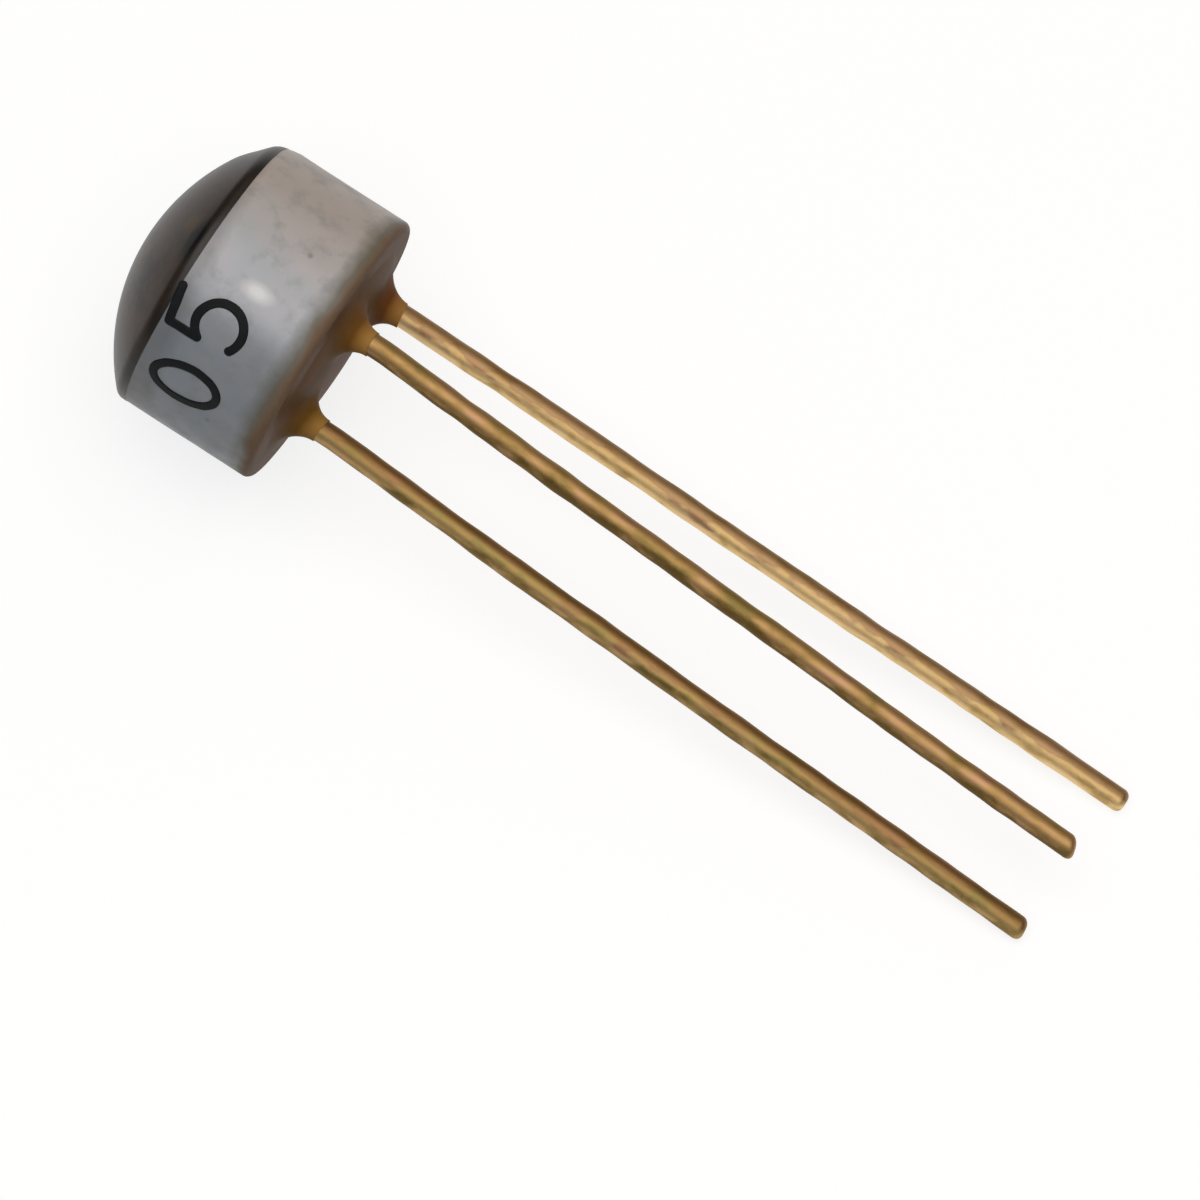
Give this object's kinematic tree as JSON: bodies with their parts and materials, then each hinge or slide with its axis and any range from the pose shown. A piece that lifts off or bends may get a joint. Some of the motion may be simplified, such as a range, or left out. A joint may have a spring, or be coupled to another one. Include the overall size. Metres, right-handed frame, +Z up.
{
  "type": "phototransistor",
  "caption": "Round ceramic phototransistor with a domed smoky epoxy lens, a potted base and long gold-plated wire leads.",
  "frame": {"origin": "on the surface that the part lies on, under the middle of the box that holds it", "axes": "+X from the dome to the lead tips, +Z up, away from the surface; the body's own axis lies in the XZ plane and slopes 8 degrees down towards the tips; +Y is the emitter lead's side"},
  "size_m": [0.0186, 0.005, 0.0053],
  "materials": {
    "alumina": "pressed and fired, slightly mottled, satin",
    "smoky_epoxy": "cast clear epoxy with a smoky grey-brown tint, glossy",
    "amber_epoxy": "poured brown epoxy, glossy, amber where thin",
    "gold_plate": "gold plated nickel-iron wire, drawn, satin",
    "gold_film": "fired gold film, satin",
    "solder": "bright solder",
    "silicon": "polished dark silicon",
    "bond_metal": "evaporated metal pad",
    "gold_wire": "fine drawn gold wire, bright",
    "marking_ink": "stamped black ink, matt"
  },
  "bodies": {
    "root": {"ceramic_header": "alumina", "epoxy_lens": "smoky_epoxy", "base_potting": "amber_epoxy", "emitter_lead": "gold_plate", "base_lead": "gold_plate", "collector_lead": "gold_plate", "collector_pad": "gold_film", "emitter_land": "gold_film", "base_land": "gold_film", "die_attach": "solder", "silicon_chip": "silicon", "base_bond_pad": "bond_metal", "emitter_bond_pad": "bond_metal", "base_wire": "gold_wire", "emitter_wire": "gold_wire", "printed_zero": "marking_ink", "printed_five": "marking_ink"}
  },
  "joints": []
}
